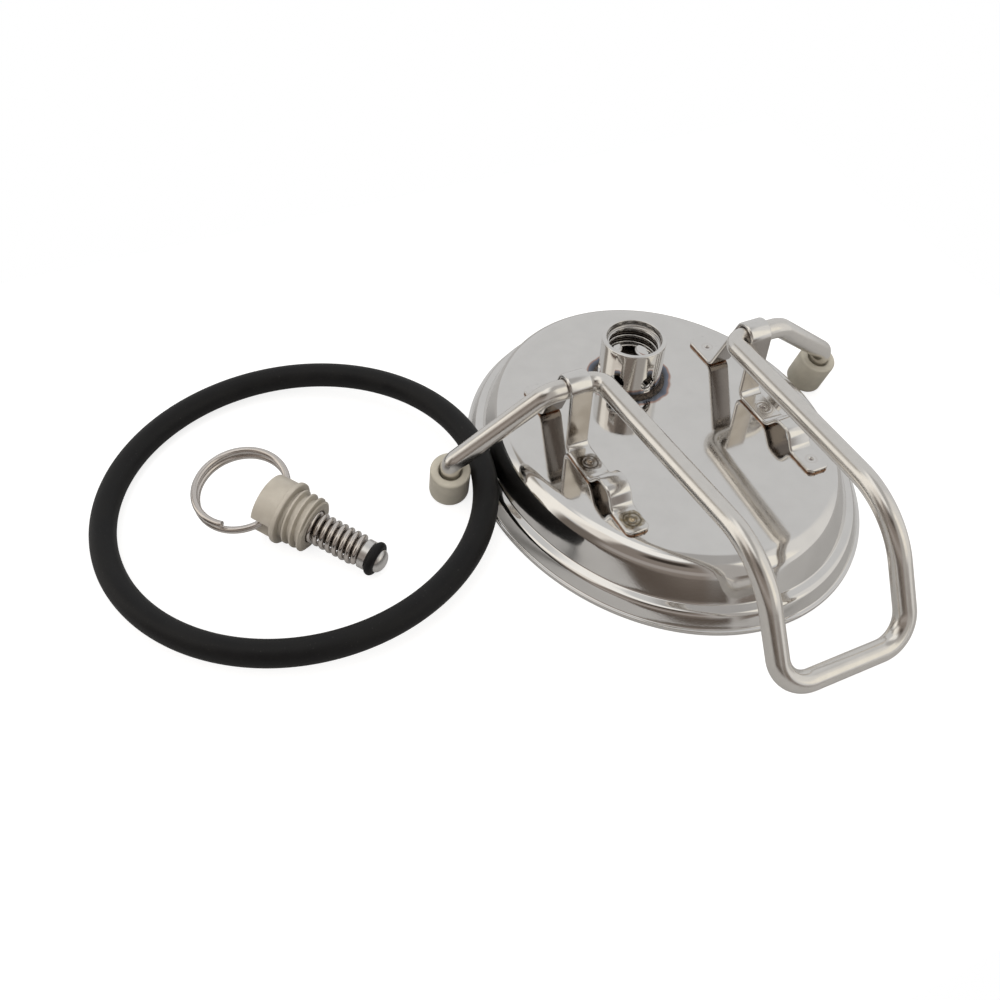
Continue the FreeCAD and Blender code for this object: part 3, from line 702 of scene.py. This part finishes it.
foot_plastic = plastic_finish(
    "foot_plastic", 4, (0.52, 0.485, 0.405), (0.44, 0.41, 0.34), 1.0, (0.38, 0.55), 0.4, 0.012)
for label, side in (("left", -1), ("right", 1)):
    down = foot_way(side)
    turn = Vector((0, 0, 1)).rotation_difference(-down).to_matrix().to_4x4()
    place = Matrix.Translation(foot_top(side) + down * FOOT_LENGTH) @ turn
    add_piece(f"foot_{label}_cap", foot_shape(), "bail", f"foot_{label}",
              foot_plastic, sharp=40, place=place)


# Lid O-ring, with the faint parting line of its mould

def ring_shape(radius, section, level, steps, sides, flash):
    """An O-ring whose parting line stands proud by flash."""
    outline = []
    for side in range(sides):
        swing = 2 * math.pi * side / sides
        proud = flash if side in (0, sides // 2) else 0
        outline.append((radius + (section + proud) * math.cos(swing),
                        level + section * math.sin(swing)))
    return turned(outline, steps)


def rubber_finish(name, dust):
    finish = Finish(name)
    cloud = finish.noise(9, detail=5)
    specks = finish.noise(0.35, detail=2)
    finish.cloudy(finish.spread(cloud, 0.35, 0.7, 0, 1), (0.004, 0.004, 0.0045),
                  (0.008, 0.0078, 0.0078))
    finish.tint(finish.spread(specks, 0.70, 0.76, 0, dust), (0.07, 0.067, 0.063))
    finish.gloss(finish.spread(cloud, 0.3, 0.7, 0.42, 0.58))
    finish.surface.inputs["Specular IOR Level"].default_value = 0.25
    finish.bump(finish.noise(0.25, detail=2), 0.006)
    finish.bump(finish.noise(3, detail=2), 0.02)
    return finish


SEAL_RADIUS = 50.8
SEAL_SECTION = 3.5
SEAL_LEAN = math.radians(2.7)
FLOOR_GAP = 0.05
seal_hinge = Matrix.Rotation(math.radians(-22), 4, "Z") @ Vector((0, -1, 0))
seal_lift = SEAL_RADIUS * math.sin(SEAL_LEAN) + SEAL_SECTION + FLOOR_GAP
seal_place = Matrix.Translation((-100.5, 21.4, seal_lift))
seal_place = seal_place @ Matrix.Rotation(SEAL_LEAN, 4, seal_hinge)
add_piece("lid_o_ring_rubber", ring_shape(SEAL_RADIUS, SEAL_SECTION, 0, 256, 40, 0.03), "lid",
          "lid_o_ring", rubber_finish("black_rubber", 0.5), sharp=60,
          place=seal_place)


# Relief valve, in its own frame: Z is its axis, up to the pull ring, and X the slot

PLUG_CREST = 7.5
EYE_HEIGHT = 3.3
DISC_FOOT = -24.9
DISC_TOP = -22.6
POCKET_FLOOR = -6.4


def plug_radius_at(radius, height, angle):
    if radius != PLUG_CREST:
        return radius
    share = fade((-1.3 - height) / 0.35) * fade((height + 8.0) / 0.4)
    return radius - 1.4 * share * groove_depth(height + 0.3, angle, THREAD_PITCH, 0.10, 0.2)


def plug_shape():
    thread = [(PLUG_CREST, -1.5 - 0.09 * step) for step in range(1, 66)]
    return turned([
        (2.26, 6.9), (7.3, 6.9), (7.6, 6.84), (7.85, 6.68), (7.97, 6.45), (8.0, 6.1),
        (8.0, 1.1), (8.05, 0.85), (8.2, 0.72), (8.5, 0.66), (8.68, 0.5), (8.75, 0.25),
        (8.75, -0.25), (8.68, -0.5), (8.5, -0.66), (8.2, -0.7), (6.6, -0.7), (6.5, -0.85),
        (6.5, -1.45), *thread,
        (7.1, -7.55), (6.6, -7.9), (4.75, -7.9), (4.65, -7.8), (4.65, POCKET_FLOOR),
        (2.26, POCKET_FLOOR)], 192, plug_radius_at)


plug_plastic = plastic_finish(
    "plug_plastic", 3, (0.49, 0.45, 0.385), (0.43, 0.39, 0.33), 0.8, (0.32, 0.48), 0.3, 0.008)
valve_plug = add_piece("valve_plug_body", plug_shape(), "valve", "valve_plug",
                       plug_plastic, sharp=30, place=VALVE_PLACE)
head_slot = box_shape((-10, -2.9, 1.2), (10, 2.9, 9))
cut_with(valve_plug, [moved(head_slot, VALVE_PLACE)], sharp=30)

valve_steel = steel("valve_steel", rough=(0.26, 0.36), cloud=2.0, scratch=(1, 1, 1), wave=0.0)
# The stem pin is painted darker than the disc and tip: painted shade for the spring coils that
# hide its shank.
shank_steel_painted_shade = steel("shank_steel_painted_shade", colour=(0.42, 0.38, 0.345), rough=(0.22, 0.34), cloud=2.0,
                    scratch=(1, 1, 1))
stem = add_piece("valve_stem_pin", turned([
    (0, DISC_FOOT), (2.75, DISC_FOOT), (2.75, -11.0), (2.6, -10.8), (2.2, -10.8), (2.2, 4.9),
    (2.1, 5.12), (1.9, 5.2), (0, 5.2)], 96), "stem", "valve_stem", shank_steel_painted_shade,
    sharp=30, place=VALVE_PLACE)
eye_place = VALVE_PLACE @ Matrix.Translation((0, 0, EYE_HEIGHT))
eye_place = eye_place @ Matrix.Rotation(math.radians(90), 4, "Y")
cut_with(stem, [moved(round_hole(1.5, 2.8, 0.25, 1.9), eye_place)], sharp=30)

add_piece("valve_disc_washer", turned([
    (2.77, DISC_FOOT), (3.75, DISC_FOOT), (4.0, -24.65), (4.0, -22.85), (3.75, DISC_TOP),
    (2.77, DISC_TOP)], 96),
    "stem", "valve_disc", valve_steel, sharp=30, place=VALVE_PLACE)
add_piece("valve_seal_rubber", ring_shape(3.5, 1.2, -26.12, 96, 28, 0.0), "stem", "valve_seal",
          rubber_finish("seal_rubber", 0.2), sharp=60, place=VALVE_PLACE)
dome = [(3.2 * math.sin(math.radians(swing)), -27.34 - 1.95 * math.cos(math.radians(swing)))
        for swing in range(9, 91, 9)]
add_piece("valve_tip_dome", turned([
    (0, -29.29), *dome, (3.15, -27.3), (2.28, -27.3), (2.28, DISC_FOOT), (0, DISC_FOOT)], 96),
    "stem", "valve_tip", valve_steel, sharp=40, place=VALVE_PLACE)


def helix(radius, turns, steps, rise):
    """Line of a coil whose height at a number of turns is what rise gives."""
    count = math.ceil(turns * steps)
    spots = [turns * index / count for index in range(count + 1)]
    return [Vector((radius * math.cos(2 * math.pi * spot), radius * math.sin(2 * math.pi * spot),
                    rise(spot))) for spot in spots]


WIRE_COLOUR = (0.70, 0.655, 0.62)
SPRING_WIRE = 0.68
SPRING_TURNS = 7.6
spring_foot = DISC_TOP + SPRING_WIRE
spring_pitch = (POCKET_FLOOR - SPRING_WIRE - spring_foot) / SPRING_TURNS
spring_line = helix(3.78, SPRING_TURNS, 48, lambda spot: spring_pitch * spot)
add_piece("valve_spring_coil", wire(spring_line, SPRING_WIRE, 20, (0, 0, 1), 0.1),
          "valve", "valve_spring",
          steel("spring_steel", colour=WIRE_COLOUR, rough=(0.13, 0.22), cloud=1.5,
                scratch=(1, 1, 1), wave=0.0),
          sharp=45, place=VALVE_PLACE @ Matrix.Translation((0, 0, spring_foot)))

RING_RADIUS = 12.3
RING_END = 75.5


def ring_rise(spot):
    """The two turns lie close and step apart only where one turn is in the eye."""
    step = min(max(spot, 0.63), 1.0)
    return 4.0 * step + 1.3 * (spot - step)


ring_turn = Matrix.Translation((0, 0, -ring_rise(1 - RING_END / 360)))
ring_turn = ring_turn @ Matrix.Rotation(math.radians(RING_END), 4, "Z")
ring_flat = Matrix(((0, 1, 0, 0), (0, 0, -1, 0), (-1, 0, 0, RING_RADIUS), (0, 0, 0, 1)))
ring_hang = Matrix.Rotation(math.radians(9), 4, "X") @ Matrix.Rotation(math.radians(-1), 4, "Y")
ring_eye = Matrix.Translation((0, 0, EYE_HEIGHT)) @ ring_hang
ring_line = helix(RING_RADIUS, 1.63, 96, ring_rise)
add_piece("pull_ring_coil", wire(ring_line, 0.95, 32, (0, 0, 1), 0.08),
          "ring", "pull_ring",
          steel("ring_steel", colour=WIRE_COLOUR, rough=(0.16, 0.26), cloud=2.0,
                scratch=(1, 1, 1), wave=0.0),
          sharp=45, place=VALVE_PLACE @ ring_eye @ ring_flat @ ring_turn)


# Camera, floor and light

scene = bpy.context.scene
scene.view_settings.view_transform = "Standard"
camera_data = bpy.data.cameras.new("camera")
camera_data.sensor_width = 36
camera_data.lens = 39.312
camera_data.clip_start = 0.01
camera_data.clip_end = 20
camera = bpy.data.objects.new("camera", camera_data)
scene.collection.objects.link(camera)
# Solved from the photograph's outlines
camera.matrix_world = Matrix((
    (0.90503306, 0.28947608, -0.31163882, -0.142703),
    (-0.42427719, 0.66619315, -0.61333152, -0.182078),
    (0.03006684, 0.68730655, 0.72574492, 0.220049),
    (0, 0, 0, 1)))
scene.camera = camera

floor_mesh = bpy.data.meshes.new("floor")
floor_mesh.from_pydata(
    [(-0.24, -0.15, 0), (0.15, -0.15, 0), (0.15, 0.16, 0), (-0.24, 0.16, 0)], [],
    [(0, 1, 2, 3)])
floor = bpy.data.objects.new("floor", floor_mesh)
scene.collection.objects.link(floor)
paper = Finish("floor_paper")
paper.cloudy(paper.spread(paper.noise(40, detail=2), 0.3, 0.7, 0, 1),
             (0.40, 0.395, 0.39), (0.385, 0.38, 0.375))
paper.surface.inputs["Roughness"].default_value = 0.9
paper.surface.inputs["Specular IOR Level"].default_value = 0.1
paper.surface.inputs["Emission Color"].default_value = (1, 1, 1, 1)
rays = paper.node("ShaderNodeLightPath", {}).outputs
seen = paper.math("MAXIMUM", rays["Is Camera Ray"], rays["Is Transmission Ray"])
mirrored = paper.math("MULTIPLY", rays["Is Glossy Ray"], 0.06)
# The paper glows for the camera, but not in the dark under the lid
glow = paper.spread(paper.distance_to((0, 0, 0), (1 / 52.8, 1 / 64.2, 1)), 0.93, 0.97, 0, 0.78)
paper.join(paper.math("MULTIPLY", paper.math("MAXIMUM", seen, mirrored), glow),
           paper.surface.inputs["Emission Strength"])
floor_mesh.materials.append(paper.material)
floor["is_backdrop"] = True

world = bpy.data.worlds.new("studio")
scene.world = world
world.use_nodes = True
studio = Recipes(world.node_tree)
background = studio.tree.nodes["Background"]
background.inputs["Strength"].default_value = 1.0

# What polished steel mirrors: an even grey room, with soft patches laid over it in turn.
# Azimuth, half width, from height, to height, softness in degrees, and colour
GREY = (0.64, 0.64, 0.64)
ROOM = [
    (-142, 42, -40, 63, 9, (0.25, 0.215, 0.19)),  # unlit front, behind the camera
    (-140, 40, 9, 23, 5, (0.38, 0.345, 0.32)),  # paler strip in it
    (-86, 16, -40, 66, 9, (0.44, 0.42, 0.40)),  # wall beside the front
    (-28, 26, -40, 70, 9, (0.78, 0.765, 0.74)),  # lit wall on the right
    (-56, 15, 12, 60, 5, (0.98, 0.94, 0.85)),  # cream soft box, right
    (-28, 82, 62, 100, 8, (0.42, 0.41, 0.40)),  # dim ceiling
    (178, 14, -40, 28, 6, (0.17, 0.145, 0.125)),  # dark gap, left
    (176, 14, 34, 76, 6, (0.86, 0.81, 0.75)),  # soft light above the gap
    (152, 15, -12, 76, 5, (1.04, 1.0, 0.93)),  # soft box, left
    (131, 9, 27, 46, 5, (0.34, 0.315, 0.285)),  # dim gap beside it
    (165, 90, 66, 86, 5, (1.03, 1.01, 0.97)),  # soft box overhead
    (-74, 14, -40, 5, 4, (0.20, 0.17, 0.15)),  # shaded foot of that wall
    (-130, 17, 42, 56, 6, (0.045, 0.036, 0.03)),  # dark spot of the camera
    (-135, 42, -40, 1, 3, (0.10, 0.08, 0.066))]  # dark below the horizon in front
ray = studio.node("ShaderNodeTexCoord", {}).outputs["Generated"]
ray = studio.node("ShaderNodeSeparateXYZ", {0: ray}).outputs
azimuth = studio.math("DEGREES", studio.math("ARCTAN2", ray["Y"], ray["X"]))
height = studio.math("DEGREES", studio.math("ARCSINE", ray["Z"]))
room = GREY
for middle, half, low, high, soft, colour in ROOM:
    turn = studio.math("WRAP", studio.math("SUBTRACT", azimuth, middle), 180, -180)
    across = studio.band(turn, -half, half, soft)
    upright = studio.band(height, low, high, soft * 0.6)
    room = studio.mix(studio.math("MULTIPLY", across, upright), room, colour)
rays = studio.node("ShaderNodeLightPath", {}).outputs
seen = studio.math("MAXIMUM", rays["Is Camera Ray"], rays["Is Transmission Ray"])
studio.join(studio.mix(seen, room, (1.0, 1.0, 1.0)), background.inputs["Color"])


def add_lamp(name, place, side, power):
    """A square lamp that faces the lid. It isn't mirrored: the room stands for it."""
    data = bpy.data.lights.new(name, "AREA")
    data.shape = "RECTANGLE"
    data.size = side
    data.size_y = side
    data.energy = power
    lamp = bpy.data.objects.new(name, data)
    scene.collection.objects.link(lamp)
    lamp.location = place
    lamp.rotation_euler = Vector(place).to_track_quat("Z", "Y").to_euler()
    lamp.visible_glossy = False


add_lamp("softbox_left", (-0.9, -0.5, 0.9), 0.9, 8)
add_lamp("softbox_top", (0.35, 0.3, 1.3), 1.2, 5.5)

low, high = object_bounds()
